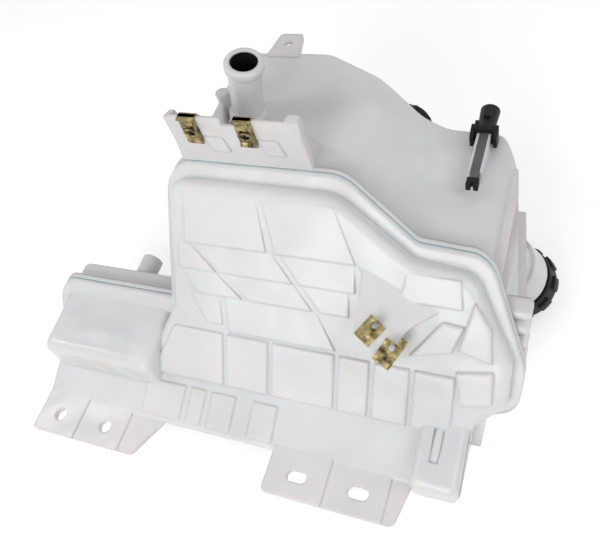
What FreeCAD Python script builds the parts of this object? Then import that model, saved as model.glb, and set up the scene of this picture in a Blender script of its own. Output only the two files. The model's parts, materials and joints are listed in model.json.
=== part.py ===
import FreeCAD, Part
import Sketcher
import math
import os
from FreeCAD import Vector, Rotation, Placement

# A coolant expansion tank in two welded plastic halves, with a pressure cap, a vent cap, a level
# sensor, a float, two mounting feet and four spring clips. Millimetres, X along the feet, Y from the
# feet to the rear, Z up. The origin is the middle of the left foot's two holes, on its underside.
doc = FreeCAD.newDocument("coolant_expansion_tank")
sheet = doc.addObject("Spreadsheet::Sheet", "Sizes")

SIZES = {
    # Body, seen along Y
    "wall": 3.5, "tank_right": 492, "high_left": 151, "high_top": 176, "slope_top_x": 326,
    "slope_foot_x": 400, "shelf_top": 131, "compartment_top": 63, "corner_round": 14,
    "heel_x": 472, "heel_height": 34, "right_knee": 60,
    # Weld plane and flange
    "weld_angle": 50, "weld_foot_y": 101, "flange_width": 10, "lip": 4.5,
    # Front half
    "face_depth": 24, "face_left": 153, "face_foot_left": 112, "face_top": 226, "face_foot": 6,
    "face_round": 10, "band_front_y": 43, "band_edge": 5, "band_rise": 22.5, "band_right": 470,
    "compartment_front_y": 77, "compartment_right": 137, "compartment_round": 8,
    "leg_left": 424, "leg_right": 469, "leg_front_y": 36, "leg_height": 27, "leg_rise": 12,
    "leg_groove_x": 443, "leg_groove": 10, "leg_round": 8,
    # Relief of the face
    "step_height": 2.2, "pillow_height": 3.2, "pillow_round": 2.6, "pillow_foot": 13,
    "pillow_head": 72, "pocket_height": 5,
    # Rear half
    "high_depth": 430, "low_depth": 372, "compartment_depth": 190, "shoulder_x": 262,
    "rear_round": 24, "rear_step": 2, "rear_rim_round": 4, "side_rib": 12, "side_rib_reach": 508,
    "side_rib_end_y": 330, "fin_thick": 2.5, "fin_reach": 8, "top_step_x": 234, "top_step": 3,
    # Feet
    "foot_plate": 4, "foot_step": 1.5, "left_foot_width": 130, "right_foot_left": 283,
    "right_foot_right": 417, "foot_back_y": 50, "foot_hole": 14, "hole_line_y": 22,
    "hole_one_x": 27, "hole_pitch": 60, "slot_one_x": 315, "slot_pitch": 63, "slot_width": 12,
    "slot_length": 21,
    # Clip plate and clips
    "plate_left": 156, "plate_right": 300, "plate_top": 245, "plate_y": 257.2, "plate_thick": 4,
    "plate_boss": 12, "plate_notch_x": 222, "plate_notch": 10, "pad_thick": 1.5,
    "clip_width": 18, "clip_steel": 1.2, "clip_gap": 0.1, "clip_front_leg": 30,
    "clip_rear_leg": 22, "clip_hole_drop": 17, "clip_emboss": 12, "clip_one_x": 186,
    "clip_two_x": 243, "nut_outside": 11, "nut_length": 11, "nut_bore": 6,
    # Web for the lower clips
    "web_thick": 4,
    # Hose pipe and the boss beside it
    "pipe_bore": 28, "pipe_outside": 34, "pipe_bead": 40, "bead_width": 6, "pipe_length": 72,
    "pipe_lean": 14, "pipe_x": 199, "pipe_y": 334, "boss_x": 174, "boss_y": 338,
    "boss_round": 7, "boss_height": 24,
    # Ear and stub
    "ear_x": 206, "ear_width": 40, "ear_tip": 27, "ear_reach": 31, "ear_thick": 5,
    "ear_hole": 9, "ear_hole_y": 15, "ear_height": 170,
    "stub_x": 76, "stub_height": 46, "stub_outside": 24, "stub_bore": 16, "stub_length": 25,
    # Pressure cap and its neck
    "neck_x": 474, "neck_y": 292, "neck_lean_x": 20, "neck_lean_y": 17, "neck_outside": 68,
    "neck_bore": 54, "neck_length": 30, "neck_collar": 76, "neck_collar_high": 8,
    "cap_outside": 84, "cap_height": 27, "cap_wall": 3, "cap_ribs": 24, "cap_rib_round": 3.2,
    "cap_clearance": 0.4, "cap_dish": 2, "plug_length": 20, "plug_wall": 3, "seal_thick": 3,
    "seal_overlap": 0.5, "disc_thick": 3, "spring_wire": 2, "spring_outside": 32,
    "spring_turns": 4,
    # Vent cap
    "vent_x": 352, "vent_height": 116, "vent_outside": 40, "vent_neck": 28, "vent_bore": 20,
    "vent_neck_length": 16, "vent_cap_height": 20, "vent_ribs": 12, "vent_rib_round": 2.2,
    "vent_seal": 1.6,
    # Level sensor
    "sensor_x": 438, "sensor_rise": 15, "probe_width": 8, "probe_length": 70,
    "connector_outside": 20, "connector_length": 30, "connector_wall": 2, "collar_outside": 26,
    "collar_thick": 6, "sensor_y": 357, "sensor_clearance": 0.3, "channel_wall": 2.5,
    "channel_length": 48, "channel_gap": 6, "latch_width": 8, "fork_slot": 3,
    "terminal_width": 2.8, "terminal_thick": 0.8, "terminal_pitch": 7,
    # Float on its post
    "float_outside": 44, "float_height": 22, "post_outside": 8, "post_length": 80,
    "post_foot": 14, "float_x": 425, "float_y": 300, "magnet_outside": 16,
    "magnet_height": 5, "magnet_gap": 0.1, "running_gap": 0.4, "rest_gap": 0.3,
}
for row, (alias, number) in enumerate(SIZES.items(), start=1):
    sheet.set("A%d" % row, alias)
    sheet.set("B%d" % row, str(number))
    sheet.setAlias("B%d" % row, alias)
doc.recompute()


def size(alias):
    return float(sheet.get(alias))


HOME = Vector(-(size("hole_one_x") + size("hole_pitch") / 2), -size("hole_line_y"), 0)
UP = Vector(0, 0, 1)
BACK = Vector(0, 1, 0)
RIGHT = Vector(1, 0, 0)
BEYOND = 600.0
START = 100.0
SLOPE = math.radians(size("weld_angle"))
OUTWARDS = Vector(0, -math.sin(SLOPE), math.cos(SLOPE))


# Outlines with rounded corners, each corner given as place and radius
def rounded_face(corners, at):
    count = len(corners)
    ends = []
    for i in range(count):
        u, v, r = corners[i]
        before, after = corners[i - 1], corners[(i + 1) % count]
        to_before = Vector(before[0] - u, before[1] - v, 0).normalize()
        to_after = Vector(after[0] - u, after[1] - v, 0).normalize()
        half = to_before.getAngle(to_after) / 2
        corner = Vector(u, v, 0)
        if r > 0:
            back = r / math.tan(half)
            middle = (to_before + to_after).normalize()
            top = corner + middle * (r / math.sin(half) - r)
            ends.append((corner + to_before * back, top, corner + to_after * back))
        else:
            ends.append((corner, None, corner))
    edges = []
    for i in range(count):
        first, top, last = ends[i]
        if top is not None:
            edges.append(Part.Arc(at(first), at(top), at(last)).toShape())
        following = ends[(i + 1) % count][0]
        if last.distanceToPoint(following) > 1e-6:
            edges.append(Part.LineSegment(at(last), at(following)).toShape())
    return Part.Face(Part.Wire(edges))


# Planes to draw on: across X, Y or Z, and along the slope at a height above the weld plane
def along_x(p):
    return Vector(-START, p.x, p.y)


def along_y(p):
    return Vector(p.x, -START, p.y)


def along_z(p):
    return Vector(p.x, p.y, -START)


def on_slope(height):
    def place(p):
        up_slope = Vector(0, math.cos(SLOPE), math.sin(SLOPE))
        return Vector(p.x, size("weld_foot_y"), 0) + up_slope * p.y + OUTWARDS * height
    return place


def inset(face, by):
    return face if by == 0 else face.makeOffset2D(-by)


# The edges of a solid that lie in one plane, rounded or bevelled all together
def rim_of(solid, point, normal):
    def lies_in(p):
        return abs((p - point).dot(normal)) < 0.02
    rim = []
    for edge in solid.Edges:
        middle = edge.valueAt((edge.FirstParameter + edge.LastParameter) / 2)
        if lies_in(middle) and all(lies_in(v.Point) for v in edge.Vertexes):
            rim.append(edge)
    return rim


def round_rim(solid, point, normal, radius):
    return solid.makeFillet(radius, rim_of(solid, point, normal))


def bevel_rim(solid, point, normal, width):
    return solid.makeChamfer(width, rim_of(solid, point, normal))


# Outer rims are rounded, the inner ones behind them bevelled
def ease_rim(solid, point, normal, radius, by):
    ease = bevel_rim if by else round_rim
    return ease(solid, point, normal, 0.65 * (radius - by) if by else radius)


# Where the weld plane, moved out by a depth, stands at a height
def plane_y(height, depth=0.0):
    return size("weld_foot_y") + (height * math.cos(SLOPE) - depth) / math.sin(SLOPE)


# The tank's outline seen along Y, shared by both halves
def section(by=0.0):
    right, left, high, low = size("tank_right"), size("high_left"), size("high_top"), size("shelf_top")
    side, heel = size("compartment_top"), size("heel_height")
    corners = [
        (0, 0, 4), (0, side, 8), (left, side, 6), (left, high, size("corner_round")),
        (size("slope_top_x"), high, 45), (size("slope_foot_x"), low + 3, 28), (right - 30, low, 20),
        (right + 8, size("right_knee"), 16), (right + 6, heel + 8, 7), (size("heel_x"), heel, 8),
        (size("heel_x") - 3, 0, 5),
    ]
    return inset(rounded_face(corners, along_y), by).extrude(BACK * 2 * BEYOND)


# Everything on one side of the weld plane moved out by a depth
def half_space(depth, far_y):
    low, high = -200, 500
    corners = [(plane_y(low, depth), low, 0), (plane_y(high, depth), high, 0), (far_y, high, 0), (far_y, low, 0)]
    return rounded_face(corners, along_x).extrude(RIGHT * 2 * BEYOND)


def behind(depth=0.0):
    return half_space(depth, 2 * BEYOND)


def in_front(depth=0.0):
    return half_space(depth, -BEYOND)


# Rear half: the section carried back to a wall that steps in towards the right
def rear_plan(by):
    r, left, right = size("rear_round"), size("high_left") - size("rear_step"), size("tank_right")
    deep, low = size("high_depth"), size("low_depth")
    corners = [
        (0, -50, 0), (0, size("compartment_depth"), 10), (left, size("compartment_depth"), 8), (left, deep, r),
        (size("shoulder_x"), deep, 1.5 * r), (size("slope_top_x") + 48, low, 1.5 * r),
        (right - 38, low, 16), (right - 20, low - 30, 18), (right + 10, 150, 0), (right + 10, -50, 0),
    ]
    return inset(rounded_face(corners, along_z), by).extrude(UP * BEYOND)


# The right wall spreads towards the bottom of the rear half
def rear_belly(by):
    x, knee = size("tank_right"), size("right_knee")
    corners = [(x - 60, 0, 0), (x - 60, knee, 0), (x - 4, knee, 10), (x - 2, 0, 8)]
    belly = inset(rounded_face(corners, along_y), by).extrude(BACK * 2 * BEYOND)
    return belly.common(Part.makeBox(BEYOND, BEYOND, BEYOND, Vector(0, 200 + by, -200)))


# The edges between the top and the rear walls
def soften_rear(solid, radius):
    rim = []
    for edge in solid.Edges:
        middle = edge.valueAt((edge.FirstParameter + edge.LastParameter) / 2)
        if middle.x < 140 or edge.Length < 0.5:
            continue
        facing = [f.normalAt(*f.Surface.parameter(middle)) for f in solid.Faces if any(edge.isSame(e) for e in f.Edges)]
        if len(facing) == 2:
            walls = [abs(n.z) < 0.01 and n.y > 0.05 for n in facing]
            tops = [n.z > 0.2 and abs(n.y) < 0.01 for n in facing]
            if (walls[0] and tops[1]) or (walls[1] and tops[0]):
                rim.append(edge)
    return solid.makeFillet(radius, rim)


def rear_form(by):
    body = section(by).fuse(rear_belly(by)).removeSplitter().common(rear_plan(by))
    if by == 0:
        body = soften_rear(body, size("rear_rim_round"))
    return body.common(behind(2.0 if by else 0.0))


# Front half: a raised sloping face over a shallow band, a lower part to the left, a leg to the right
def face_block(by):
    left, foot, top = size("face_left"), size("face_foot"), size("face_top")
    foot_left, right = size("face_foot_left"), size("tank_right")
    corners = [
        (foot_left, foot, 12), (foot_left + 4, foot + 22, 10), (left - 19, 55, 20), (left, 95, 20),
        (left, top, 16), (size("slope_top_x"), top, 45), (size("slope_foot_x") + 2, top - 52, 28),
        (right - 34, top - 59, 24), (right + 7, 90, 18), (right + 7, 50, 14),
        (size("band_right") + 1, 22, 14), (size("band_right") + 1, foot, 0),
    ]
    depth, sunk = size("face_depth"), 6
    block = inset(rounded_face(corners, on_slope(-sunk)), by).extrude(OUTWARDS * (sunk + depth - by))
    return ease_rim(block, on_slope(depth - by)(Vector()), OUTWARDS, size("face_round"), by)


def band_block(by):
    front, back = size("band_front_y"), size("weld_foot_y") + 40
    rise = (size("band_rise") - size("band_edge")) / (plane_y(size("band_rise"), size("face_depth")) - front)
    corners = [(front, 0, 0), (front, size("band_edge"), 3), (back, size("band_edge") + rise * (back - front), 0), (back, 0, 0)]
    left = 0 if by == 0 else by
    return inset(rounded_face(corners, along_x), by).extrude(RIGHT * (size("band_right") - by - left)).translated(Vector(START + left, 0, 0))


def compartment_block(by):
    front, top, right = size("compartment_front_y"), size("compartment_top"), size("compartment_right")
    back = plane_y(top) + 60
    corners = [(front, 0, 0), (front, top - 4, 12), (back, top + 3, 0), (back, 0, 0)]
    block = inset(rounded_face(corners, along_x), by).extrude(RIGHT * (right - 2 * by)).translated(Vector(START + by, 0, 0))
    block = ease_rim(block, Vector(by, 0, 0), RIGHT, size("compartment_round"), by)
    return ease_rim(block, Vector(right - by, 0, 0), RIGHT, size("compartment_round"), by)


def leg_block(by):
    front, left, right, tall = size("leg_front_y"), size("leg_left"), size("leg_right"), size("leg_height")
    back = 140
    corners = [(front, -20, 0), (front, tall, 9), (back, tall + size("leg_rise"), 0), (back, -20, 0)]
    block = inset(rounded_face(corners, along_x), by).extrude(RIGHT * (right - left - 2 * by)).translated(Vector(START + left + by, 0, 0))
    block = ease_rim(block, Vector(left + by, 0, 0), RIGHT, size("leg_round"), by)
    block = ease_rim(block, Vector(right - by, 0, 0), RIGHT, size("leg_round"), by)
    floor = Part.makeBox(BEYOND, BEYOND, BEYOND, Vector(0, 0, by - BEYOND))
    block = block.cut(floor)
    if by == 0:
        groove = Part.makeCylinder(size("leg_groove") / 2, 60, Vector(size("leg_groove_x"), front + 24, tall + 4.5), BACK)
        block = block.cut(groove)
    return block


def front_form(by):
    body = band_block(by).multiFuse([face_block(by), leg_block(by), compartment_block(by)])
    return body.removeSplitter().common(in_front(-2.0 if by else 0.0))


# Outlines extruded from one plane to another
def prism_x(corners, start, end):
    return rounded_face(corners, along_x).extrude(RIGHT * (end - start)).translated(Vector(START + start, 0, 0))


def prism_y(corners, start, end):
    return rounded_face(corners, along_y).extrude(BACK * (end - start)).translated(Vector(0, START + start, 0))


def prism_z(corners, start, end):
    return rounded_face(corners, along_z).extrude(UP * (end - start)).translated(Vector(0, 0, START + start))


def block_between(low, high):
    count = len(low)
    rings = [low, high] + [[low[i], low[(i + 1) % count], high[(i + 1) % count], high[i]] for i in range(count)]
    faces = [Part.Face(Part.makePolygon(ring + ring[:1])) for ring in rings]
    return Part.makeSolid(Part.makeShell(faces))


# A panel of the face that laps over the next one: flush at its head, raised at its foot
def lapped_panel(head, head_left, head_right, foot, foot_left, foot_right):
    depth, rise = size("face_depth"), size("step_height")
    places = ((head_left, head, 0.2), (head_right, head, 0.2), (foot_right, foot, rise), (foot_left, foot, rise))
    low = [on_slope(depth - 2)(Vector(u, v, 0)) for u, v, high in places]
    return block_between(low, [on_slope(depth + high)(Vector(u, v, 0)) for u, v, high in places])


def pillow(corners, height):
    depth = size("face_depth")
    pad = rounded_face([(u, v, 0) for u, v in corners], on_slope(depth - 7)).extrude(OUTWARDS * (7 + height))
    return round_rim(pad, on_slope(depth + height)(Vector()), OUTWARDS, size("pillow_round"))


# The panels in four lapped rows, crossed by two slanting seams
LAPPED_ROWS = [
    (216, 172, 250, 165, 172, 262), (216, 256, 328, 165, 272, 352),
    (165, 165, 176, 137.5, 165, 207), (165, 182, 267, 137.5, 213, 290), (165, 276, 351, 137.5, 298, 353),
    (137.5, 166, 205, 113, 186, 236), (137.5, 213, 290, 113, 244, 311), (137.5, 298, 346, 113, 320, 348),
    (113, 216, 314, 76, 222, 336), (113, 176, 210, 82, 196, 214),
]
# Pillows below them, between upright seams, and three bulges towards the right
SEAMS = (216, 267, 338, 373, 412, 454)
PILLOW_GAP = 5


def pillows():
    foot, head, half_gap = size("pillow_foot"), size("pillow_head"), PILLOW_GAP / 2
    left = size("face_foot_left")
    pads = [[(left + 14, foot), (SEAMS[0] - half_gap, foot), (SEAMS[0] - half_gap, head), (left + 44, head)]]
    for start, end in zip(SEAMS, SEAMS[1:]):
        pads.append([(start + half_gap, foot), (end - half_gap, foot), (end - half_gap, head), (start + half_gap, head)])
    return [pillow(pad, size("pillow_height")) for pad in pads]


def bulges():
    tall = size("pocket_height")
    outlines = [[(408, 86), (446, 96), (455, 122), (436, 124)], [(452, 100), (482, 92), (478, 124), (462, 146)],
                [(460, 46), (486, 52), (484, 84), (452, 78)]]
    return [pillow(outline, tall) for outline in outlines] + [lapped_panel(164, 400, 448, 138, 396, 452)]


# Shallow cushions on the band, between upright grooves
def band_cushions():
    front, edge = size("band_front_y"), size("band_edge")
    back = plane_y(size("band_rise"), size("face_depth"))
    run = Vector(0, back - front, size("band_rise") - edge).normalize()
    out = Vector(0, -run.z, run.y)

    def place(p):
        return Vector(p.x, front, edge) + run * p.y - out * 3
    cushions = []
    for left, right in ((122, 170), (177, 195), (202, 230), (250, 278)):
        outline = [(left, 5, 0), (right, 5, 0), (right, 42, 0), (left, 42, 0)]
        pad = rounded_face(outline, place).extrude(out * 5)
        cushions.append(round_rim(pad, place(Vector()) + out * 5, out, 1.6))
    return cushions


# Web that stands out of the face and carries the lower clips, one on each of its two front edges
WEB_SEAT = Vector(351, 190.5, 144)
WEB_FALL_X, WEB_RISE_Y = 0.21, 0.4525
WEB_NORMAL = Vector(WEB_FALL_X, -WEB_RISE_Y, 1).normalize()
WEB_EDGES = {"upper": ((361.7, 134.1), (376.9, 125.9)), "lower": ((382.1, 117.7), (396.6, 112.4))}


def on_web(p):
    return Vector(p.x, p.y, WEB_SEAT.z - WEB_FALL_X * (p.x - WEB_SEAT.x) + WEB_RISE_Y * (p.y - WEB_SEAT.y))


def web():
    upper, lower = WEB_EDGES["upper"], WEB_EDGES["lower"]
    corners = [(351.4, 190.5, 0), (359.2, 183.8, 3)] + [(x, y, 0) for x, y in upper + lower] + [
        (398.5, 128, 0), (406, 146, 30), (432.2, 168.1, 0), (434, 178, 0), (351.4, 200, 0)]
    plate = rounded_face(corners, on_web).extrude(WEB_NORMAL * -size("web_thick"))
    gusset = prism_x([(190, 139, 0), (156, 122.5, 0), (156, 101, 0), (168, 100, 0), (196, 134, 0)], 366, 370)
    plate = plate.fuse(gusset)
    for start, end in WEB_EDGES.values():
        first, last = on_web(Vector(*start, 0)), on_web(Vector(*end, 0))
        inward = WEB_NORMAL.cross(last - first).normalize()
        plate = plate.cut(put(rod(8, -20, 20), (first + last) / 2 + inward * size("clip_hole_drop"), turned(WEB_NORMAL)))
    return plate


# Feet: plates with a step down to the right at each seam, and a slanted right edge
def foot(left, right, seams, slant):
    edges = [left] + seams + [right]
    panels = len(edges) - 1
    plates = []
    for i in range(panels):
        first, last = i == 0, i == panels - 1
        corners = [(edges[i], 0, 5 if first else 0), (edges[i + 1], 0, 8 if last else 0),
                   (edges[i + 1] + (slant if last else 0), size("foot_back_y"), 0), (edges[i], size("foot_back_y"), 0)]
        plates.append(prism_z(corners, 0, size("foot_plate") + size("foot_step") * (panels - 1 - i)))
    return plates[0].multiFuse(plates[1:])


def round_hole(x, bore):
    return Part.makeCylinder(bore / 2, 60, Vector(x, size("hole_line_y"), -30))


def long_hole(x, width, length):
    y, run = size("hole_line_y"), length - width
    middle = Part.makeBox(run, width, 60, Vector(x - run / 2, y - width / 2, -30))
    ends = [Part.makeCylinder(width / 2, 60, Vector(x + side * run / 2, y, -30)) for side in (-1, 1)]
    return middle.multiFuse(ends)


# Weld lip of one half, a rim round the section with the tank's inside cut out
def lip(front):
    slab = in_front(0).common(behind(size("lip"))) if front else behind(0).common(in_front(-size("lip")))
    floor = Part.makeBox(2 * BEYOND, 2 * BEYOND, BEYOND, Vector(-BEYOND, -BEYOND, 0))
    return section(-size("flange_width")).common(slab).common(floor).cut(section(size("wall")))


def turned(direction):
    return Rotation(UP, direction)


def lathe(profile):
    face = Part.Face(Part.makePolygon([Vector(r, 0, z) for r, z in profile + profile[:1]]))
    return face.revolve(Vector(), UP, 360)


def rod(outside, low, high):
    return Part.makeCylinder(outside / 2, high - low, Vector(0, 0, low))


def put(shape, base, turn=Rotation()):
    moved = shape.copy()
    moved.Placement = Placement(base, turn)
    return moved


def moulding(label, shape):
    piece = doc.addObject("Part::Feature", label)
    piece.Shape = shape.removeSplitter()
    piece.Placement = Placement(HOME, Rotation())
    return piece


# Places and directions of what stands on the shells
pipe_lean = math.radians(size("pipe_lean"))
pipe_turn = turned(Vector(math.sin(pipe_lean), 0, math.cos(pipe_lean)))
pipe_seat = Vector(size("pipe_x"), size("pipe_y"), size("high_top"))
lean_x, lean_y = math.radians(size("neck_lean_x")), math.radians(size("neck_lean_y"))
neck_turn = turned(Vector(math.tan(lean_x), math.tan(lean_y), -1))
neck_seat = Vector(size("neck_x"), size("neck_y"), 0)
shoulder_run = Vector(size("slope_top_x") + 48 - size("shoulder_x"), size("low_depth") - size("high_depth"), 0)
vent_turn = turned(UP.cross(shoulder_run))
vent_share = (size("vent_x") - size("shoulder_x")) / shoulder_run.x
vent_seat = Vector(size("vent_x"), size("high_depth") + vent_share * shoulder_run.y, size("vent_height"))
stub_seat = Vector(size("stub_x"), size("compartment_depth"), size("stub_height"))
sensor_seat = Vector(size("sensor_x"), size("sensor_y"), size("shelf_top") + size("sensor_rise"))
float_seat = Vector(size("float_x"), size("float_y"), size("shelf_top") - size("wall") - size("post_length"))

# Front half
wall = size("wall")
front = front_form(0).multiFuse(pillows() + bulges() + band_cushions() + [lapped_panel(*row) for row in LAPPED_ROWS] + [web()])
front = front.cut(front_form(wall)).fuse(lip(True))
left_foot = foot(0, size("left_foot_width"), [54, 112], 26)
right_foot = foot(size("right_foot_left"), size("right_foot_right"), [346, 406], 10)
for i in (0, 1):
    left_foot = left_foot.cut(round_hole(size("hole_one_x") + i * size("hole_pitch"), size("foot_hole")))
    right_foot = right_foot.cut(long_hole(size("slot_one_x") + i * size("slot_pitch"), size("slot_width"), size("slot_length")))
moulding("front_shell", front.multiFuse([left_foot, right_foot]))

# Rear half: pipe, necks and stub
outer, bead, length = size("pipe_outside") / 2, size("pipe_bead") / 2, size("pipe_length")
bead_foot = length - 2 - size("bead_width")
pipe = lathe([(0, -25), (outer + 3, -25), (outer + 3, 5), (outer, 8), (outer, bead_foot - 3), (bead, bead_foot),
              (bead, length - 2), (bead - 1.5, length), (0, length)])
pipe = put(pipe, pipe_seat, pipe_turn)
pipe_way = put(rod(size("pipe_bore"), -40, length + 1), pipe_seat, pipe_turn)
boss = Part.makeCylinder(size("boss_round"), 10 + size("boss_height"), Vector(size("boss_x"), size("boss_y"), size("high_top") - 10))
boss_web = prism_x([(size("boss_y"), size("high_top") - 8, 0), (size("boss_y"), size("high_top") + size("boss_height") - 3, 0),
                    (size("boss_y") - 30, size("high_top") - 8, 0)], size("boss_x") - 2, size("boss_x") + 2)
collar, collar_high = size("neck_collar") / 2, size("neck_collar_high")
neck_round = size("neck_outside") / 2
neck = lathe([(0, -30), (collar, -30), (collar, collar_high), (neck_round, collar_high + 3), (neck_round, size("neck_length")), (0, size("neck_length"))])
neck = put(neck, neck_seat, neck_turn)
neck_way = put(rod(size("neck_bore"), -45, size("neck_length") + 1), neck_seat, neck_turn)
vent = put(rod(size("vent_neck"), -35, size("vent_neck_length")), vent_seat, vent_turn)
vent_way = put(rod(size("vent_bore"), -60, size("vent_neck_length") + 1), vent_seat, vent_turn)
stub = put(rod(size("stub_outside"), -20, size("stub_length")), stub_seat, turned(BACK))
stub_way = put(rod(size("stub_bore"), -30, size("stub_length") + 1), stub_seat, turned(BACK))

# Clip plate, with a return at its left, a post at its right and two raised pads
plate_y, plate_top, plate_left, plate_right = (size(n) for n in ("plate_y", "plate_top", "plate_left", "plate_right"))
plate_foot, plate_back = size("high_top") - 6, size("plate_y") + size("plate_thick")
plate = prism_y([(plate_left + 1, plate_foot, 0), (plate_left + 8, plate_top, 2), (plate_right, plate_top, 8), (plate_right - 12, plate_foot, 0)],
                plate_y, plate_back)
notch = prism_y([(size("plate_notch_x"), plate_top + 5, 0), (size("plate_notch_x") + size("plate_notch"), plate_top + 5, 0),
                 (size("plate_notch_x") + size("plate_notch"), plate_top - 8, 2), (size("plate_notch_x") - 3, plate_top - 8, 2)], plate_y - 5, plate_back + 5)
plate = plate.cut(notch)
for clip_x in (size("clip_one_x"), size("clip_two_x")):
    pad = [(clip_x + 10, plate_top - 22, 2), (clip_x + 30, plate_top - 22, 2), (clip_x + 34, plate_top - 42, 2), (clip_x + 14, plate_top - 42, 2)]
    plate = plate.fuse(prism_y(pad, plate_y - size("pad_thick"), plate_y + 1))
    plate = plate.cut(put(rod(8, -20, 20), Vector(clip_x, plate_y, plate_top - size("clip_hole_drop")), turned(BACK)))
left_return = prism_x([(plate_y, plate_foot, 0), (plate_y, plate_top, 0), (plate_y + 14, plate_top - 4, 4), (plate_y + 34, plate_foot, 0)], plate_left + 5, plate_left + 9)
post = prism_z([(plate_right - size("plate_boss") - 4, plate_y, 2), (plate_right - 2, plate_y, 2), (plate_right - 2, plate_y + size("plate_boss"), 4),
                (plate_right - size("plate_boss") - 4, plate_y + size("plate_boss"), 4)], plate_foot, plate_top + 1)
post_web = prism_x([(plate_y + 4, plate_foot, 0), (plate_y + 4, plate_top - 12, 0), (plate_y + 46, plate_foot, 0)], plate_right - 12, plate_right - 8)

# Ear, sensor channel, side ribs and fins
ear_y, half_ear, half_tip = size("high_depth"), size("ear_width") / 2, size("ear_tip") / 2
ear = prism_z([(size("ear_x") - half_ear, ear_y - 6, 0), (size("ear_x") - half_tip, ear_y + size("ear_reach"), 5),
               (size("ear_x") + half_tip, ear_y + size("ear_reach"), 5), (size("ear_x") + half_ear, ear_y - 6, 0)],
              size("ear_height"), size("ear_height") + size("ear_thick"))
ear = ear.cut(Part.makeCylinder(size("ear_hole") / 2, BEYOND, Vector(size("ear_x"), ear_y + size("ear_hole_y"), 0)))
probe, clear, side = size("probe_width"), size("sensor_clearance"), size("channel_wall")
channel_end = size("sensor_y") - 4 - clear
channel = Part.makeBox(probe + 2 * (side + clear), size("channel_length"), sensor_seat.z + probe / 2 - size("shelf_top") + 2,
                       Vector(size("sensor_x") - probe / 2 - side - clear, channel_end - size("channel_length"), size("shelf_top") - 2))
groove = Part.makeBox(probe + 2 * clear, BEYOND, 30, Vector(size("sensor_x") - probe / 2 - clear, 0, sensor_seat.z - probe / 2 - clear))
channel = channel.cut(groove)
ribs = []
for i in range(4):
    low = 52.6 + 11 * i
    high, reach = low + size("side_rib") - 1.2, size("side_rib_reach")
    rib = prism_y([(470, low, 0), (470, high, 0), (reach, high, 5), (reach, low, 5)], plane_y(high) + 7, size("side_rib_end_y"))
    ribs.append(bevel_rim(rib, Vector(0, plane_y(high) + 7, 0), BACK, 3))
for height in (104, 116):
    reach = size("tank_right") + 8 - (height - size("right_knee")) * 38 / 71 + size("fin_reach")
    ribs.append(prism_y([(450, height, 0), (450, height + size("fin_thick"), 0), (reach, height + size("fin_thick"), 1), (reach, height, 1)],
                        plane_y(height) + 4, size("low_depth") - 34))

# The top left of the rear half lies a step lower
def lower_top(by):
    step, x, high = size("top_step"), size("top_step_x"), size("high_top") - by
    return prism_y([(0, high - step, 0), (x - 16, high - step, 0), (x + 16, high + 0.01, 0), (x + 16, high + 20, 0), (0, high + 20, 0)], plate_back + 2, BEYOND)


outside = rear_form(0).cut(lower_top(0)).multiFuse([pipe, boss, boss_web, neck, vent, stub, plate, left_return, post, post_web, ear, channel] + ribs)
rear = outside.cut(rear_form(wall).cut(lower_top(wall)))
for way in (pipe_way, neck_way, vent_way, stub_way):
    rear = rear.cut(way)
float_post = put(rod(size("post_outside"), 0, size("post_length") + 2), float_seat)
float_foot = put(rod(size("post_foot"), -3, 0), float_seat)
moulding("rear_shell", rear.multiFuse([lip(False), float_post, float_foot]))


# Pieces drawn as bodies: an outline whose corners follow the sizes, then turned or padded
def plane_of(body, role):
    return next(f for f in body.Origin.OriginFeatures if f.Role == role)


def outline_sketch(body, role, corners):
    sketch = body.newObject("Sketcher::SketchObject", body.Label + "_outline")
    sketch.AttachmentSupport = (plane_of(body, role), [""])
    sketch.MapMode = "FlatFace"
    count = len(corners)
    spots = [Vector(20 + 9 * math.cos(6.283 * i / count), 9 * math.sin(6.283 * i / count), 0) for i in range(count)]
    for i in range(count):
        sketch.addGeometry(Part.LineSegment(spots[i], spots[(i + 1) % count]))
    for i in range(count):
        sketch.addConstraint(Sketcher.Constraint("Coincident", i, 2, (i + 1) % count, 1))
    for i, rules in enumerate(corners):
        for kind, rule, start in zip(("DistanceX", "DistanceY"), rules, (spots[i].x, spots[i].y)):
            row = sketch.addConstraint(Sketcher.Constraint(kind, -1, 1, i, 1, start))
            sketch.setExpression("Constraints[%d]" % row, rule)
    return sketch


def new_body(label, base, turn=Rotation()):
    body = doc.addObject("PartDesign::Body", label)
    body.Placement = Placement(HOME + base, turn)
    return body


# A turned piece: corners as radius and height
def turned_body(label, corners, base, turn=Rotation()):
    body = new_body(label, base, turn)
    sketch = outline_sketch(body, "XZ_Plane", corners)
    solid = body.newObject("PartDesign::Revolution", label + "_turned")
    solid.Profile = sketch
    solid.ReferenceAxis = (sketch, ["V_Axis"])
    solid.Angle = 360
    return body, sketch


def tube_body(label, outside, bore, low, high, base, turn=Rotation()):
    corners = [(bore, low), (outside, low), (outside, high), (bore, high)]
    return turned_body(label, corners, base, turn)


def bind(item, **rules):
    for name, rule in rules.items():
        item.setExpression(name.replace("_", "."), rule)


# Grip ribs round a turned piece
def add_ribs(body, sketch, count, radius, height, centre, low):
    rib = body.newObject("PartDesign::AdditiveCylinder", body.Label + "_rib")
    bind(rib, Radius=radius, Height=height, Placement_Base_x=centre, Placement_Base_z=low)
    doc.recompute()
    ring = body.newObject("PartDesign::PolarPattern", body.Label + "_ribs")
    ring.Originals = [rib]
    ring.Axis = (sketch, ["V_Axis"])
    ring.Angle = 360
    ring.setExpression("Occurrences", count)
    body.Tip = ring


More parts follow.
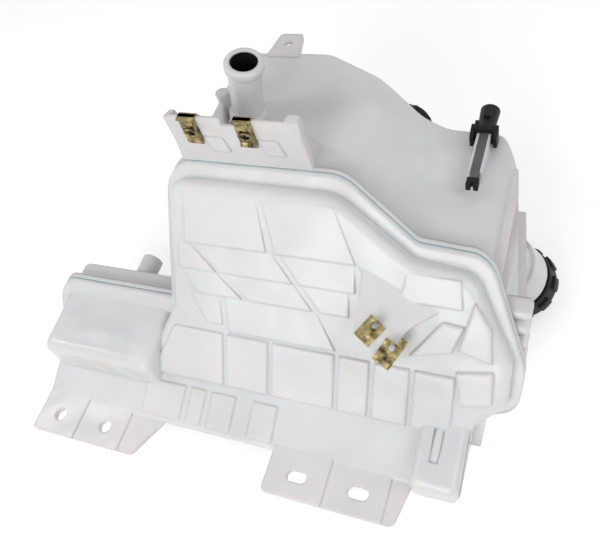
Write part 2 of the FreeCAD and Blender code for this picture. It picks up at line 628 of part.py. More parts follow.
# Spring clips: a strip folded over a plate's edge, with a pressed collar round its hole
def clip(label, base, turn, thickness):
    body = new_body(label, base, turn)
    outer_front = "-Sizes.clip_gap - Sizes.clip_steel"
    outer_back = "Sizes.%s + Sizes.clip_gap + Sizes.clip_steel" % thickness
    inner_back = "Sizes.%s + Sizes.clip_gap" % thickness
    corners = [
        (outer_front, "4 - Sizes.clip_front_leg"), (outer_front, "Sizes.clip_gap + Sizes.clip_steel"),
        (outer_back, "Sizes.clip_gap + Sizes.clip_steel"), (outer_back, "-Sizes.clip_rear_leg"),
        (inner_back, "-Sizes.clip_rear_leg"), (inner_back, "Sizes.clip_gap"), ("-Sizes.clip_gap", "Sizes.clip_gap"),
        ("-Sizes.clip_gap", "4 - Sizes.clip_front_leg"), ("-Sizes.clip_gap - 2", "-Sizes.clip_front_leg"),
        (outer_front + " - 2", "-Sizes.clip_front_leg"),
    ]
    sketch = outline_sketch(body, "YZ_Plane", corners)
    strip = body.newObject("PartDesign::Pad", label + "_strip")
    strip.Profile = sketch
    strip.setExpression("Length", "Sizes.clip_width")
    strip.Midplane = True
    doc.recompute()
    across = Rotation(RIGHT, 90)
    collar = body.newObject("PartDesign::AdditiveCylinder", label + "_collar")
    collar.Placement = Placement(Vector(), across)
    bind(collar, Radius="Sizes.clip_emboss / 2", Height="Sizes.clip_steel",
         Placement_Base_y="-Sizes.clip_gap - Sizes.clip_steel / 2", Placement_Base_z="-Sizes.clip_hole_drop")
    hole = body.newObject("PartDesign::SubtractiveCylinder", label + "_hole")
    hole.Placement = Placement(Vector(), across)
    bind(hole, Radius="Sizes.nut_bore / 2", Height="60", Placement_Base_y="30", Placement_Base_z="-Sizes.clip_hole_drop")
    doc.recompute()
    bends = []
    for number, edge in enumerate(hole.Shape.Edges, start=1):
        ends = [v.Point for v in edge.Vertexes]
        if len(ends) == 2 and abs(ends[0].x - ends[1].x) > size("clip_width") - 1:
            if ends[0].z > size("clip_gap") + size("clip_steel") - 0.01:
                bends.append("Edge%d" % number)
    fold = body.newObject("PartDesign::Fillet", label + "_fold")
    fold.Base = (hole, bends)
    fold.setExpression("Radius", "Sizes.clip_steel")
    return body


def add_clip(place, name, base, turn, thickness):
    clip("%s_clip_%s" % (place, name), base, turn, thickness)
    nut_seat = Vector(0, size(thickness) + size("clip_gap") + size("clip_steel"), -size("clip_hole_drop"))
    tube_body("%s_nut_%s" % (place, name), "Sizes.nut_outside / 2", "Sizes.nut_bore / 2", "0", "Sizes.nut_length",
              base + turn.multVec(nut_seat), turn.multiply(turned(BACK)))


for name, x in (("left", size("clip_one_x")), ("right", size("clip_two_x"))):
    add_clip("plate", name, Vector(x, plate_y, plate_top), Rotation(), "plate_thick")
for name, (start, end) in WEB_EDGES.items():
    first, last = on_web(Vector(*start, 0)), on_web(Vector(*end, 0))
    edge_way = (last - first).normalize()
    inward = WEB_NORMAL.cross(edge_way).normalize()
    edge_turn = Rotation(edge_way, WEB_NORMAL, -inward, "ZXY")
    add_clip("bracket", name, (first + last) / 2 - WEB_NORMAL * size("web_thick"), edge_turn, "web_thick")

# Pressure cap on its neck: grip, valve body, gasket, valve disc and spring
skirt = "Sizes.neck_outside / 2 + Sizes.cap_clearance"
inside_top = "Sizes.neck_length + Sizes.seal_thick + 4"
cap_top = inside_top + " + Sizes.cap_wall"
cap_low = cap_top + " - Sizes.cap_height"
grip_out = "Sizes.cap_outside / 2 - Sizes.cap_rib_round"
grip, grip_sketch = turned_body("pressure_cap", [
    ("0", inside_top), (skirt, inside_top), (skirt, cap_low), (grip_out, cap_low), (grip_out, cap_top + " - 3"),
    (grip_out + " - 4", cap_top), (grip_out + " - 12", cap_top), (grip_out + " - 14", cap_top + " - Sizes.cap_dish"),
    ("0", cap_top + " - Sizes.cap_dish")], neck_seat, neck_turn)
add_ribs(grip, grip_sketch, "Sizes.cap_ribs", "Sizes.cap_rib_round", "Sizes.cap_height - 5", grip_out, cap_low + " + 1")
rim_out = "Sizes.neck_outside / 2 - 0.5"
plug_out = "Sizes.neck_bore / 2 - 1"
plug_in = plug_out + " - Sizes.plug_wall"
rim_low = "Sizes.neck_length + Sizes.seal_thick"
plug_low = "Sizes.neck_length - Sizes.plug_length"
plug_floor = plug_low + " + 2.5"
turned_body("cap_valve_body", [
    ("0", inside_top + " - Sizes.cap_clearance"), (rim_out, inside_top + " - Sizes.cap_clearance"), (rim_out, rim_low),
    (plug_out, rim_low), (plug_out, plug_low), ("4", plug_low), ("4", plug_floor), (plug_in, plug_floor),
    (plug_in, rim_low), ("0", rim_low)], neck_seat, neck_turn)
tube_body("cap_gasket", rim_out, plug_out + " + Sizes.seal_overlap", "Sizes.neck_length", rim_low, neck_seat, neck_turn)
turned_body("pressure_valve_disc", [("0", plug_floor), (plug_in + " - 2", plug_floor), (plug_in + " - 2", plug_floor + " + Sizes.disc_thick"),
                                    ("0", plug_floor + " + Sizes.disc_thick")], neck_seat, neck_turn)
wire = size("spring_wire")
coil_low = size("neck_length") - size("plug_length") + 2.5 + size("disc_thick") + wire / 2 + 0.2
coil_high = size("neck_length") + size("seal_thick") - wire / 2 - 0.2
coil_round = (size("spring_outside") - wire) / 2
coil = Part.makeHelix((coil_high - coil_low) / size("spring_turns"), coil_high - coil_low, coil_round)
wire_round = [Vector(coil_round + wire / 2 * math.cos(math.radians(45 * i)), 0, wire / 2 * math.sin(math.radians(45 * i))) for i in range(8)]
coil = Part.Wire(coil.Edges).makePipeShell([Part.makePolygon(wire_round + wire_round[:1])], True, True)
spring = doc.addObject("Part::Feature", "pressure_spring")
spring.Shape = coil
spring.Placement = Placement(HOME + neck_seat, neck_turn).multiply(Placement(Vector(0, 0, coil_low), Rotation()))

# Vent cap and its gasket
vent_skirt = "Sizes.vent_neck / 2 + Sizes.cap_clearance"
vent_inside = "Sizes.vent_neck_length + Sizes.vent_seal + Sizes.cap_clearance"
vent_top = vent_inside + " + Sizes.cap_wall"
vent_low = vent_top + " - Sizes.vent_cap_height"
vent_out = "Sizes.vent_outside / 2 - Sizes.vent_rib_round"
vent_cap, vent_sketch = turned_body("vent_cap", [
    ("0", vent_inside), (vent_skirt, vent_inside), (vent_skirt, vent_low), (vent_out, vent_low), (vent_out, vent_top + " - 2"),
    (vent_out + " - 3", vent_top), ("0", vent_top)], vent_seat, vent_turn)
add_ribs(vent_cap, vent_sketch, "Sizes.vent_ribs", "Sizes.vent_rib_round", "Sizes.vent_cap_height - 3", vent_out, vent_low)
tube_body("vent_gasket", "Sizes.vent_neck / 2 - 0.5", "Sizes.vent_bore / 2", "Sizes.vent_neck_length", "Sizes.vent_neck_length + Sizes.vent_seal", vent_seat, vent_turn)

# Level sensor: connector to the rear, probe forward in its channel, forked at the tip
along_sensor = turned(BACK)
out, socket = "Sizes.connector_outside / 2", "Sizes.connector_length"
collar_front, collar_back = "-4", "Sizes.collar_thick - 4"
sensor, sensor_sketch = turned_body("level_sensor", [
    ("0", collar_front), ("Sizes.collar_outside / 2", collar_front), ("Sizes.collar_outside / 2", collar_back), (out, collar_back),
    (out, socket), (out + " - Sizes.connector_wall", socket), (out + " - Sizes.connector_wall", "12"), ("0", "12")], sensor_seat, along_sensor)
for name, kind, sizes, corner in (
        ("latch", "PartDesign::AdditiveBox", ("Sizes.latch_width", "3", "12"), ("-Sizes.latch_width / 2", "-Sizes.connector_outside / 2 - 2", "12")),
        ("probe", "PartDesign::AdditiveBox", ("Sizes.probe_width", "Sizes.probe_width", "Sizes.probe_length - 3"),
         ("-Sizes.probe_width / 2", "-Sizes.probe_width / 2", "-Sizes.probe_length")),
        ("fork", "PartDesign::SubtractiveBox", ("Sizes.fork_slot", "Sizes.probe_width + 2", "12"),
         ("-Sizes.fork_slot / 2", "-Sizes.probe_width / 2 - 1", "-Sizes.probe_length - 1"))):
    box = sensor.newObject(kind, "sensor_" + name)
    bind(box, Length=sizes[0], Width=sizes[1], Height=sizes[2], Placement_Base_x=corner[0], Placement_Base_y=corner[1], Placement_Base_z=corner[2])
for name, side in (("left", -1), ("right", 1)):
    pin = doc.addObject("Part::Box", "sensor_terminal_" + name)
    bind(pin, Length="Sizes.terminal_width", Width="Sizes.connector_length - 16", Height="Sizes.terminal_thick")
    offset = Vector(side * size("terminal_pitch") / 2 - size("terminal_width") / 2, 12, -size("terminal_thick") / 2)
    pin.Placement = Placement(HOME + sensor_seat + offset, Rotation())

# Float on its post, with a ring magnet in its top
float_bore = "Sizes.post_outside / 2 + Sizes.running_gap"
pocket_low = "Sizes.float_height - Sizes.magnet_height"
pocket_out = "Sizes.magnet_outside / 2 + Sizes.magnet_gap"
turned_body("level_float", [
    (float_bore, "Sizes.rest_gap"), ("Sizes.float_outside / 2 - 2", "Sizes.rest_gap"), ("Sizes.float_outside / 2", "Sizes.rest_gap + 2"),
    ("Sizes.float_outside / 2", "Sizes.float_height - 2"), ("Sizes.float_outside / 2 - 2", "Sizes.float_height"),
    (pocket_out, "Sizes.float_height"), (pocket_out, pocket_low), (float_bore, pocket_low)], float_seat)
tube_body("float_magnet", "Sizes.magnet_outside / 2", float_bore + " + 0.3", pocket_low, "Sizes.float_height", float_seat)

doc.recompute()
NODES = ["front_shell", "rear_shell", "pressure_cap", "cap_valve_body", "cap_gasket", "pressure_valve_disc", "pressure_spring",
         "vent_cap", "vent_gasket", "level_sensor", "sensor_terminal_left", "sensor_terminal_right", "level_float", "float_magnet"]
NODES += ["%s_%s_%s" % (place, kind, name) for place, names in (("plate", ("left", "right")), ("bracket", ("upper", "lower")))
          for kind in ("clip", "nut") for name in names]
for item in doc.Objects:
    if "Invalid" in item.State or "Error" in item.State:
        raise ValueError("failed: " + item.Label)
os.makedirs("parts", exist_ok=True)
for node in NODES:
    shape = doc.getObject(node).Shape
    if shape.isNull() or not shape.isValid() or len(shape.Solids) != 1:
        raise ValueError("bad shape: " + node)
    shape.exportStep("parts/%s.step" % node)
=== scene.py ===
import json
import math

import bpy
from mathutils import Matrix, Vector


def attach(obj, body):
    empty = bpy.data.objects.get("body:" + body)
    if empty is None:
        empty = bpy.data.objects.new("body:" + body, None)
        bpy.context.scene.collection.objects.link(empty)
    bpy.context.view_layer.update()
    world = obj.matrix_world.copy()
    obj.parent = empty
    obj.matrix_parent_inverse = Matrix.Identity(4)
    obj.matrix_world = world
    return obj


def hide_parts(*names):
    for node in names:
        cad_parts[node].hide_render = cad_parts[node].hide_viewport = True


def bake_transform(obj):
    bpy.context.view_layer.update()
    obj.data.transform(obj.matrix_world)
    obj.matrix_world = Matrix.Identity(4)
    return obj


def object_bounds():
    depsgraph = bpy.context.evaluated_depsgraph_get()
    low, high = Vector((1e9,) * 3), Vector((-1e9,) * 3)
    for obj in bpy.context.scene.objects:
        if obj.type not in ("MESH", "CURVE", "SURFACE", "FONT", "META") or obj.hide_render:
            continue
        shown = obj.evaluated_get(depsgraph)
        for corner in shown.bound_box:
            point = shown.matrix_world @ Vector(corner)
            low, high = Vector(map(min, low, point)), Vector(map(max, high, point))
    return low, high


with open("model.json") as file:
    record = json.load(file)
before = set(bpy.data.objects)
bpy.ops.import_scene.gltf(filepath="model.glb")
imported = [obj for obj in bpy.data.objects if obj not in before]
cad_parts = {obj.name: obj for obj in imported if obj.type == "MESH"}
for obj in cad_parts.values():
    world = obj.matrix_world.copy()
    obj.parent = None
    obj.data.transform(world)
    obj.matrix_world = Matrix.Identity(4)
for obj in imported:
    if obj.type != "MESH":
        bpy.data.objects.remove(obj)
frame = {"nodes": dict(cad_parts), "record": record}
cad_low, cad_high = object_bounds()
nodes = frame["nodes"]

# The camera stands in front of the tank, above it and to its right, and is rolled to the left
CAMERA_PLACE = (0.4736, -0.1499, 0.6550)
CAMERA_AZIMUTH = 37.60
CAMERA_ELEVATION = 54.24
CAMERA_ROLL = -23.23
CAMERA_LENS = 41.22
SENSOR_WIDTH = 36.0


def camera_axes():
    turn, tilt, roll = (math.radians(a) for a in (CAMERA_AZIMUTH, CAMERA_ELEVATION, CAMERA_ROLL))
    back = Vector((math.sin(turn) * math.cos(tilt), -math.cos(turn) * math.cos(tilt), math.sin(tilt)))
    level = Vector((math.cos(turn), math.sin(turn), 0))
    upright = back.cross(level)
    right = level * math.cos(roll) + upright * math.sin(roll)
    return right, back.cross(right), back


def make_camera():
    lens = bpy.data.cameras.new("camera")
    lens.lens, lens.sensor_width = CAMERA_LENS, SENSOR_WIDTH
    lens.clip_start, lens.clip_end = 0.01, 20
    camera = bpy.data.objects.new("camera", lens)
    bpy.context.scene.collection.objects.link(camera)
    camera.matrix_world = Matrix.Translation(CAMERA_PLACE) @ Matrix(camera_axes()).transposed().to_4x4()
    bpy.context.scene.camera = camera


# Node helpers
def add_node(tree, kind, **settings):
    node = tree.nodes.new(kind)
    for key, value in settings.items():
        if hasattr(node, key):
            setattr(node, key, value)
        else:
            node.inputs[key.replace("_", " ")].default_value = value
    return node


def join(tree, source, target):
    tree.links.new(source, target)


def new_group(name, inputs, outputs):
    group = bpy.data.node_groups.new(name, "ShaderNodeTree")
    for label, kind in inputs:
        group.interface.new_socket(label, in_out="INPUT", socket_type=kind)
    for label, kind in outputs:
        group.interface.new_socket(label, in_out="OUTPUT", socket_type=kind)
    return group, group.nodes.new("NodeGroupInput"), group.nodes.new("NodeGroupOutput")


# 1 for what is seen, straight, in a reflection or through glass, and 0 for light that falls on the object
def in_sight(tree):
    rays = tree.nodes.new("ShaderNodeLightPath")
    sight = rays.outputs["Is Camera Ray"]
    for kind in ("Is Glossy Ray", "Is Transmission Ray"):
        either = add_node(tree, "ShaderNodeMath", operation="MAXIMUM")
        join(tree, sight, either.inputs[0])
        join(tree, rays.outputs[kind], either.inputs[1])
        sight = either.outputs["Value"]
    return sight


VALUE, COLOUR = "NodeSocketFloat", "NodeSocketColor"
SHARP_EDGE, SOFT_EDGE = math.radians(28), math.radians(30)


# Fine texture of a moulded surface, with slow changes of shade and height from the flow of the plastic
def moulded_grain():
    group, given, made = new_group(
        "moulded grain",
        [("Colour", COLOUR), ("Shade", COLOUR), ("Flow Scale", VALUE), ("Grain Scale", VALUE),
         ("Roughness", VALUE), ("Roughness Change", VALUE), ("Wave Scale", VALUE), ("Wave Share", VALUE)],
        [("Colour", COLOUR), ("Roughness", VALUE), ("Height", VALUE)])
    place = add_node(group, "ShaderNodeTexCoord")
    flow = add_node(group, "ShaderNodeTexNoise", Detail=3.0, Roughness=0.55)
    grain = add_node(group, "ShaderNodeTexNoise", Detail=2.0, Roughness=0.6)
    wave = add_node(group, "ShaderNodeTexNoise", Detail=1.0, Roughness=0.4)
    for noise, scale in ((flow, "Flow Scale"), (grain, "Grain Scale"), (wave, "Wave Scale")):
        join(group, place.outputs["Object"], noise.inputs["Vector"])
        join(group, given.outputs[scale], noise.inputs["Scale"])
    spread = add_node(group, "ShaderNodeMapRange", From_Min=0.35, From_Max=0.68)
    join(group, flow.outputs["Fac"], spread.inputs["Value"])
    tint = add_node(group, "ShaderNodeMix", data_type="RGBA")
    join(group, spread.outputs["Result"], tint.inputs["Factor"])
    join(group, given.outputs["Colour"], tint.inputs["A"])
    join(group, given.outputs["Shade"], tint.inputs["B"])
    centred = add_node(group, "ShaderNodeMath", operation="SUBTRACT")
    join(group, grain.outputs["Fac"], centred.inputs[0])
    centred.inputs[1].default_value = 0.5
    rough = add_node(group, "ShaderNodeMath", operation="MULTIPLY_ADD")
    join(group, centred.outputs["Value"], rough.inputs[0])
    join(group, given.outputs["Roughness Change"], rough.inputs[1])
    join(group, given.outputs["Roughness"], rough.inputs[2])
    join(group, tint.outputs["Result"], made.inputs["Colour"])
    join(group, rough.outputs["Value"], made.inputs["Roughness"])
    height = add_node(group, "ShaderNodeMix", data_type="FLOAT")
    join(group, given.outputs["Wave Share"], height.inputs["Factor"])
    join(group, grain.outputs["Fac"], height.inputs["A"])
    join(group, wave.outputs["Fac"], height.inputs["B"])
    join(group, height.outputs["Result"], made.inputs["Height"])
    return group


GRAIN = moulded_grain()


def finish_material(name, **sockets):
    material = bpy.data.materials.new(name)
    material.use_nodes = True
    tree = material.node_tree
    shader = tree.nodes["Principled BSDF"]
    for label, value in sockets.items():
        shader.inputs[label.replace("_", " ")].default_value = value
    return material, tree, shader


# wave is the scale and the share of slow waves in the relief, and edge is the radius that sharp edges show
def grained(name, colour, shade, flow, grain, rough, change, bump, wave=(30, 0.0), relief=0.0004, edge=0.0,
            **sockets):
    material, tree, shader = finish_material(name, **sockets)
    surface = tree.nodes.new("ShaderNodeGroup")
    surface.node_tree = GRAIN
    for label, value in (("Colour", (*colour, 1)), ("Shade", (*shade, 1)), ("Flow Scale", flow),
                         ("Grain Scale", grain), ("Roughness", rough), ("Roughness Change", change),
                         ("Wave Scale", wave[0]), ("Wave Share", wave[1])):
        surface.inputs[label].default_value = value
    bumps = add_node(tree, "ShaderNodeBump", Strength=bump, Distance=relief)
    join(tree, surface.outputs["Height"], bumps.inputs["Height"])
    join(tree, surface.outputs["Colour"], shader.inputs["Base Color"])
    join(tree, surface.outputs["Roughness"], shader.inputs["Roughness"])
    join(tree, bumps.outputs["Normal"], shader.inputs["Normal"])
    if edge:
        rounded = add_node(tree, "ShaderNodeBevel", samples=6, Radius=edge)
        join(tree, rounded.outputs["Normal"], bumps.inputs["Normal"])
    return material


MATERIALS = {
    "tank_plastic": grained("milky polypropylene", (0.78, 0.775, 0.78), (0.70, 0.70, 0.71), 9, 900,
                            0.25, 0.10, 0.55, wave=(26, 0.97), relief=0.006, edge=0.0035,
                            Subsurface_Weight=0.5, Subsurface_Scale=0.006, IOR=1.49),
    "black_plastic": grained("black polyamide", (0.006, 0.006, 0.007), (0.011, 0.011, 0.012), 40, 1400,
                             0.48, 0.2, 0.25, Specular_IOR_Level=0.18),
    "dark_plastic": grained("dark grey plastic", (0.075, 0.075, 0.077), (0.11, 0.11, 0.112), 40, 1400,
                            0.55, 0.2, 0.3),
    "seal_rubber": grained("seal rubber", (0.02, 0.02, 0.02), (0.03, 0.03, 0.03), 50, 1200,
                           0.62, 0.15, 0.2),
    "zinc_steel": grained("yellow zinc on steel", (0.46, 0.38, 0.19), (0.050, 0.030, 0.018), 130, 1500,
                          0.24, 0.2, 0.5, wave=(140, 0.9), relief=0.003, Metallic=1.0),
    "spring_steel": grained("spring steel", (0.45, 0.45, 0.46), (0.36, 0.36, 0.37), 60, 1500,
                            0.3, 0.15, 0.05, Metallic=1.0),
    "terminal_brass": grained("tinned brass", (0.62, 0.55, 0.38), (0.5, 0.43, 0.28), 80, 1500,
                              0.28, 0.15, 0.05, Metallic=1.0),
    "magnet": grained("sintered magnet", (0.12, 0.12, 0.125), (0.08, 0.08, 0.085), 80, 1500,
                      0.5, 0.2, 0.2, Metallic=0.6),
}


def smooth_rounds(piece):
    piece.data.shade_smooth()
    piece.data.set_sharp_from_angle(angle=SHARP_EDGE)


def dress_nodes():
    slots = {entry["node"]: entry["material_slot"] for entry in frame["record"]["subparts"]}
    for name, node in nodes.items():
        node.data.materials.clear()
        node.data.materials.append(MATERIALS[slots[name]])
        smooth_rounds(node)


# Modelling helpers: an operator acts on the faces that a test picks by centre and normal
def start(name, operator, **settings):
    bpy.ops.object.select_all(action="DESELECT")
    operator(**settings)
    piece = bpy.context.object
    piece.name = piece.data.name = name
    return piece


def apply_place():
    bpy.ops.object.transform_apply(location=True, rotation=True, scale=True)


def cylinder(name, radius, length, middle, vertices=96, turn=(0, 0, 0)):
    piece = start(name, bpy.ops.mesh.primitive_cylinder_add, vertices=vertices, radius=radius, depth=length,
                  location=middle, rotation=turn)
    apply_place()
    return piece


def block(name, low, high):
    size = [b - a for a, b in zip(low, high)]
    middle = [(a + b) / 2 for a, b in zip(low, high)]
    piece = start(name, bpy.ops.mesh.primitive_cube_add, size=1, location=middle, scale=size)
    apply_place()
    return piece


def edit(piece, chosen, operator, **settings):
    bpy.context.view_layer.objects.active = piece
    bpy.ops.object.mode_set(mode="EDIT")
    bpy.ops.mesh.select_mode(type="FACE")
    bpy.ops.mesh.select_all(action="DESELECT")
    bpy.ops.object.mode_set(mode="OBJECT")
    for face in piece.data.polygons:
        face.select = chosen(face.center, face.normal)
    bpy.ops.object.mode_set(mode="EDIT")
    operator(**settings)
    bpy.ops.object.mode_set(mode="OBJECT")


def everywhere(centre, normal):
    return True


def facing(way, above=None):
    way = Vector(way)
    return lambda centre, normal: normal.dot(way) > 0.9 and (above is None or centre.dot(way) > above)


# Faces on the end of a round piece that looks up or down its own axis
def on_end(side, above=None):
    return lambda centre, normal: (normal.z * side > 0.9 and centre.xy.length < 0.001
                                   and (above is None or centre.z > above))


def cut(piece, place, way, **settings):
    edit(piece, everywhere, bpy.ops.mesh.bisect, plane_co=place, plane_no=way, **settings)


def inset(piece, chosen, width):
    edit(piece, chosen, bpy.ops.mesh.inset, thickness=width)


def pull(piece, chosen, way):
    edit(piece, chosen, bpy.ops.mesh.extrude_region_move, TRANSFORM_OT_translate={"value": way})


def soften(piece, width, segments=2, angle=32):
    bpy.ops.object.select_all(action="DESELECT")
    piece.select_set(True)
    bpy.context.view_layer.objects.active = piece
    bevel = piece.modifiers.new("edges", "BEVEL")
    bevel.width, bevel.segments = width, segments
    bevel.limit_method, bevel.angle_limit = "ANGLE", math.radians(angle)
    bpy.ops.object.modifier_apply(modifier="edges")
    bpy.ops.object.shade_smooth_by_angle(angle=SOFT_EDGE)


def join_pieces(first, *others):
    bpy.ops.object.select_all(action="DESELECT")
    for piece in (first, *others):
        piece.select_set(True)
    bpy.context.view_layer.objects.active = first
    bpy.ops.object.join()
    return first


def settle(piece, spot=(0, 0, 0), way=(0, 0, 1)):
    bpy.ops.object.select_all(action="DESELECT")
    piece.select_set(True)
    bpy.context.view_layer.objects.active = piece
    piece.rotation_mode = "QUATERNION"
    piece.rotation_quaternion = Vector((0, 0, 1)).rotation_difference(Vector(way))
    piece.location = Vector(spot)
    apply_place()


def finish_piece(piece, body, slot, *replaced):
    piece.data.materials.clear()
    piece.data.materials.append(MATERIALS[slot])
    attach(piece, body)
    if replaced:
        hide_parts(*replaced)


# Seats of the dressed pieces, in the part's own frame
NECK_SEAT = Vector((0.417, 0.270, 0.0))
NECK_WAY = Vector((math.tan(math.radians(20)), math.tan(math.radians(17)), -1)).normalized()
SENSOR_SEAT = Vector((0.381, 0.335, 0.146))


# Pressure cap: a plain skirt, and a ring of broad grips with a dished top
def pressure_cap():
    low, ring, high = 0.0135, 0.0230, 0.0387
    chamfer, grip_step, grip_width = 0.0025, 36, 21
    cap = cylinder("pressure_cap_grip", 0.0388, high - low, (0, 0, (low + high) / 2), vertices=120)
    for height in (ring, high - chamfer):
        cut(cap, (0, 0, height), (0, 0, 1))

    def on_grip(centre, normal):
        turn = math.degrees(math.atan2(centre.y, centre.x)) % grip_step
        return abs(normal.z) < 0.1 and ring < centre.z < high - chamfer and turn < grip_width
    edit(cap, on_grip, bpy.ops.mesh.extrude_region_shrink_fatten,
         TRANSFORM_OT_shrink_fatten={"value": 0.0026})
    crown, mouth = on_end(1, high - 0.003), on_end(-1)
    for width in (0.0105, 0.0014):
        inset(cap, crown, width)
    edit(cap, crown, bpy.ops.transform.translate, value=(0, 0, -0.0018))
    inset(cap, mouth, 0.0043)
    pull(cap, mouth, (0, 0, 0.0230))
    soften(cap, 0.0007)
    settle(cap, NECK_SEAT, NECK_WAY)
    finish_piece(cap, "cap_grip", "black_plastic", "pressure_cap")


# Level sensor: rounded connector with a socket, shoulder with two hooks, probe with a pronged tip
def level_sensor():
    front, back = 0.001, 0.030
    neck_front, neck_back = 0.007, 0.010
    connector = cylinder("level_sensor_body", 0.0098, back - front, (0, (front + back) / 2, 0),
                         vertices=64, turn=(-math.pi / 2, 0, 0))

    def from_axis(centre):
        return Vector((centre.x, centre.z)).length
    inset(connector, facing((0, 1, 0), back - 0.001), 0.0018)
    pull(connector, lambda centre, normal: normal.y > 0.9 and from_axis(centre) < 0.001, (0, -0.0178, 0))
    for depth in (neck_front, neck_back):
        cut(connector, (0, depth, 0), (0, 1, 0))
    edit(connector, lambda centre, normal: (abs(normal.y) < 0.1 and neck_front < centre.y < neck_back
                                            and from_axis(centre) > 0.009),
         bpy.ops.transform.shrink_fatten, value=-0.0012)
    soften(connector, 0.0008, 3)

    latch = block("latch", (-0.0035, 0.012, 0.0080), (0.0035, 0.024, 0.0112))
    inset(latch, facing((0, 0, 1)), 0.001)
    pull(latch, facing((0, 0, 1), 0.0111), (0, 0.0008, 0.0008))
    nub = block("nub", (-0.0120, 0.011, -0.0020), (-0.0085, 0.015, 0.0020))

    hook = 0.0095
    shoulder = block("shoulder", (-0.0130, -0.0038, -0.0115), (0.0130, 0.0020, 0.0100))
    for side in (-hook, hook):
        cut(shoulder, (side, 0, 0), (1, 0, 0))
    pull(shoulder, lambda centre, normal: normal.y < -0.9 and abs(centre.x) > hook, (0, -0.0085, 0))
    edit(shoulder, lambda centre, normal: normal.y < -0.9 and centre.y < -0.01,
         bpy.ops.transform.resize, value=(1, 1, 0.6))

    slit = 0.0012
    probe = block("level_sensor_probe", (-0.0040, -0.0620, -0.0040), (0.0040, -0.0030, 0.0040))
    tip = block("tip", (-0.0058, -0.0655, -0.0040), (0.0058, -0.0600, 0.0044))
    for side in (-slit, slit):
        cut(tip, (side, 0, 0), (1, 0, 0))
    pull(tip, lambda centre, normal: normal.y < -0.9 and abs(centre.x) > slit, (0, -0.0045, 0))
    for other in (latch, nub, shoulder, probe, tip):
        soften(other, 0.0007)
    sensor = join_pieces(connector, latch, nub, shoulder, tip)
    for piece, finish in ((sensor, "black_plastic"), (probe, "dark_plastic")):
        settle(piece, SENSOR_SEAT)
        finish_piece(piece, "tank", finish, "level_sensor")


# Painted shade in the hose pipe's bore: a black tube lining the bore stands for the shade inside the pipe
def painted_bore_shade():
    lean = math.radians(14)
    bore_shade = cylinder("hose_pipe_painted_shade", 0.01395, 0.068, (0, 0, 0.0365))
    inset(bore_shade, facing((0, 0, 1)), 0.0009)
    pull(bore_shade, on_end(1), (0, 0, -0.0665))
    soften(bore_shade, 0.0002)
    settle(bore_shade, (0.142, 0.312, 0.176), (math.sin(lean), 0, math.cos(lean)))
    finish_piece(bore_shade, "tank", "black_plastic")


# Rounded root of the cap's neck, where it leaves the right wall
def neck_root():
    root = cylinder("neck_root", 0.0345, 0.026, (0, 0, -0.040))
    inset(root, facing((0, 0, -1)), 0.002)
    soften(root, 0.009, 5, 60)
    settle(root, NECK_SEAT, NECK_WAY)
    finish_piece(root, "tank", "tank_plastic")


# Floor of the groove along the top of the leg, which rises with it
def leg_groove():
    rise = math.radians(6.6)
    floor = cylinder("leg_groove_floor", 0.0054, 0.066, (0.386, 0.068, 0.0266),
                     vertices=48, turn=(rise - math.pi / 2, 0, 0))
    soften(floor, 0.001)
    settle(floor)
    finish_piece(floor, "tank", "tank_plastic")


# A merged copy of a node's mesh, to be edited
def copy_of(node, name):
    copy = bpy.data.objects.new(name, nodes[node].data.copy())
    bpy.context.scene.collection.objects.link(copy)
    bpy.ops.object.select_all(action="DESELECT")
    copy.select_set(True)
    edit(copy, everywhere, bpy.ops.mesh.remove_doubles, threshold=0.00001)
    bpy.ops.mesh.customdata_custom_splitnormals_clear()
    return copy


# Spring that shortens when the valve disc lifts, here a fixed copy of its node in spring steel
def pressure_spring():
    spring = copy_of("pressure_spring", "pressure_spring_coil")
    smooth_rounds(spring)
    spring.data.materials.clear()
    spring.data.materials.append(MATERIALS["spring_steel"])
    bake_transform(spring)
    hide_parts("pressure_spring")


# Rear half with its side ribs ended a little behind the flange, where the wall draws in.
# Each row has the foot and top of a cut, a point of the wall that it stops at and the way out of that wall.
DRAWN_IN_WALL, SLOPING_WALL = Vector((192, 30, 0)).normalized(), Vector((1, 0, 0.535)).normalized()
RIB_CUTS = (
    (0.050, 0.0635, (0.4245, 0.320, 0), DRAWN_IN_WALL),
    (0.063, 0.1195, (0.4155, 0.320, 0), DRAWN_IN_WALL),
    (0.060, 0.0980, (0.4435, 0, 0.060), SLOPING_WALL),
)


def rear_shell():
    shell = copy_of("rear_shell", "rear_shell_trimmed")
    behind_flange = Vector((0, 1, -0.839)).normalized()
    for foot, top, wall, outwards in RIB_CUTS:
        waste = block("waste", (0.400, 0.110, foot), (0.470, 0.330, top))
        for place, way in ((wall, outwards), ((0, 0.106, 0), behind_flange)):
            cut(waste, place, way, clear_inner=True, use_fill=True)
        edit(waste, everywhere, bpy.ops.mesh.normals_make_consistent, inside=False)
        bpy.context.view_layer.objects.active = shell
        trim = shell.modifiers.new("trim", "BOOLEAN")
        trim.operation, trim.solver, trim.object = "DIFFERENCE", "MANIFOLD", waste
        bpy.ops.object.modifier_apply(modifier="trim")
        bpy.data.objects.remove(waste)
    smooth_rounds(shell)
    finish_piece(shell, "tank", "tank_plastic", "rear_shell")


# Plate clips: an oval collar round the screw hole, a turned-up lip on the right edge and a thick fold on top
PLATE_CLIPS = {"plate_clip_left": 0.1200, "plate_clip_right": 0.1770}
CLIP_FRONT, CLIP_BACK, CLIP_FOOT, CLIP_TOP, CLIP_WIDTH = 0.2319, 0.2405, 0.2150, 0.2463, 0.0180


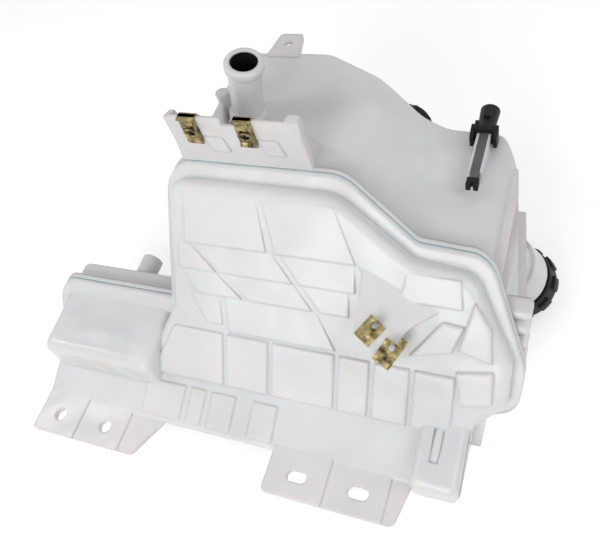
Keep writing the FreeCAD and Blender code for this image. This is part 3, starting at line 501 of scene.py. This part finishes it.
def clip_trim(name, left):
    right = left + CLIP_WIDTH
    collar = start(name + "_trim", bpy.ops.mesh.primitive_torus_add, major_radius=0.0047, minor_radius=0.0009,
                   major_segments=48, minor_segments=12, rotation=(math.pi / 2, 0, 0))
    collar.location = ((left + right) / 2 - 0.0005, CLIP_FRONT + 0.0002, CLIP_FOOT + 0.0135)
    collar.scale = (1.35, 0.85, 1)
    apply_place()
    lip = block("lip", (right - 0.0013, CLIP_FRONT - 0.0022, CLIP_FOOT + 0.003),
                (right, CLIP_FRONT + 0.0006, CLIP_TOP - 0.001))
    fold = block("fold", (left - 0.0004, CLIP_FRONT - 0.0006, CLIP_TOP - 0.0022),
                 (right + 0.0004, CLIP_BACK + 0.0004, CLIP_TOP))
    for part in (lip, fold):
        soften(part, 0.0004)
    trim = join_pieces(collar, lip, fold)
    bpy.ops.object.shade_smooth_by_angle(angle=SOFT_EDGE)
    settle(trim)
    finish_piece(trim, "tank", "zinc_steel")


# Floor, lamps and world
FLOOR_GLOW, WORLD_LIGHT, BACKDROP = 0.42, 0.40, 1.0


def make_floor():
    floor = start("floor", bpy.ops.mesh.primitive_plane_add, size=8, location=(0, 0, cad_low.z - 0.0005))
    material, tree, shader = finish_material("pale floor", Base_Color=(0.9, 0.9, 0.9, 1), Roughness=0.8)
    shader.inputs["Specular IOR Level"].default_value = 0.1
    glow = add_node(tree, "ShaderNodeMath", operation="MULTIPLY")
    join(tree, in_sight(tree), glow.inputs[0])
    glow.inputs[1].default_value = FLOOR_GLOW
    join(tree, glow.outputs["Value"], shader.inputs["Emission Strength"])
    shader.inputs["Emission Color"].default_value = (1, 1, 1, 1)
    floor.data.materials.append(material)


def add_lamp(name, place, target, width, power):
    light = bpy.data.lights.new(name, "AREA")
    light.size, light.energy = width, power
    lamp = bpy.data.objects.new(name, light)
    bpy.context.scene.collection.objects.link(lamp)
    lamp.location = place
    lamp.rotation_mode = "QUATERNION"
    lamp.rotation_quaternion = (Vector(target) - Vector(place)).to_track_quat("-Z", "Y")


def make_light():
    world = bpy.data.worlds.new("studio")
    bpy.context.scene.world = world
    world.use_nodes = True
    tree = world.node_tree
    background = tree.nodes["Background"]
    background.inputs["Color"].default_value = (1, 1, 1, 1)
    level = add_node(tree, "ShaderNodeMath", operation="MULTIPLY_ADD")
    join(tree, in_sight(tree), level.inputs[0])
    level.inputs[1].default_value = BACKDROP - WORLD_LIGHT
    level.inputs[2].default_value = WORLD_LIGHT
    join(tree, level.outputs["Value"], background.inputs["Strength"])
    middle = (0.15, 0.10, 0.08)
    add_lamp("front lamp", (0.10, -1.20, 0.95), middle, 0.9, 11)
    add_lamp("side lamp", (1.5, 0.1, 1.2), middle, 1.0, 7)
    add_lamp("high lamp", (-0.75, 0.05, 1.05), middle, 0.30, 2.5)
    bpy.context.scene.view_settings.view_transform = "Standard"


make_camera()
dress_nodes()
pressure_cap()
level_sensor()
painted_bore_shade()
leg_groove()
neck_root()
pressure_spring()
rear_shell()
for clip, left_edge in PLATE_CLIPS.items():
    clip_trim(clip, left_edge)
make_floor()
make_light()
